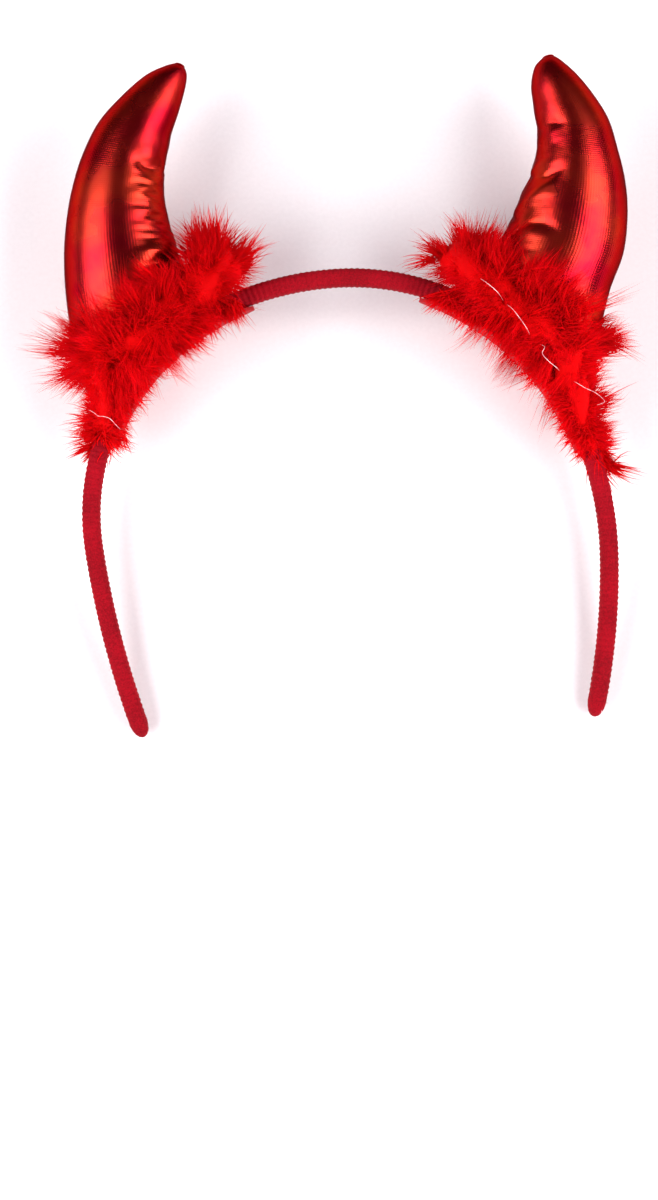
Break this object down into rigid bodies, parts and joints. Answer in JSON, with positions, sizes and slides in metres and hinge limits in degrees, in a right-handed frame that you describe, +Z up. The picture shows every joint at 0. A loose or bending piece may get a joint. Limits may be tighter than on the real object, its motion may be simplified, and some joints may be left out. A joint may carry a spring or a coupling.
{
  "type": "devil horns headband",
  "caption": "Fabric-covered springy head hoop with stuffed foil-knit devil horns on felt patches, each with a ring of marabou feather trim round its foot.",
  "frame": {"origin": "on the surface that the headband lies on, under the middle of its bounding box", "axes": "+X to the right as its front is seen, +Y towards the horn tips, +Z up and out of its front; the worn upright direction leans up from +Y by about 8 degrees"},
  "size_m": [0.1702, 0.1934, 0.0524],
  "materials": {
    "sleeved_hoop": "matte",
    "foil_knit": "satin",
    "marabou_down": "matte",
    "felt": "matte"
  },
  "bodies": {
    "root": {"headband": "sleeved_hoop", "horn_left": "foil_knit", "horn_right": "foil_knit", "marabou_left": "marabou_down", "marabou_right": "marabou_down", "base_patch_left": "felt", "base_patch_right": "felt"}
  },
  "joints": []
}
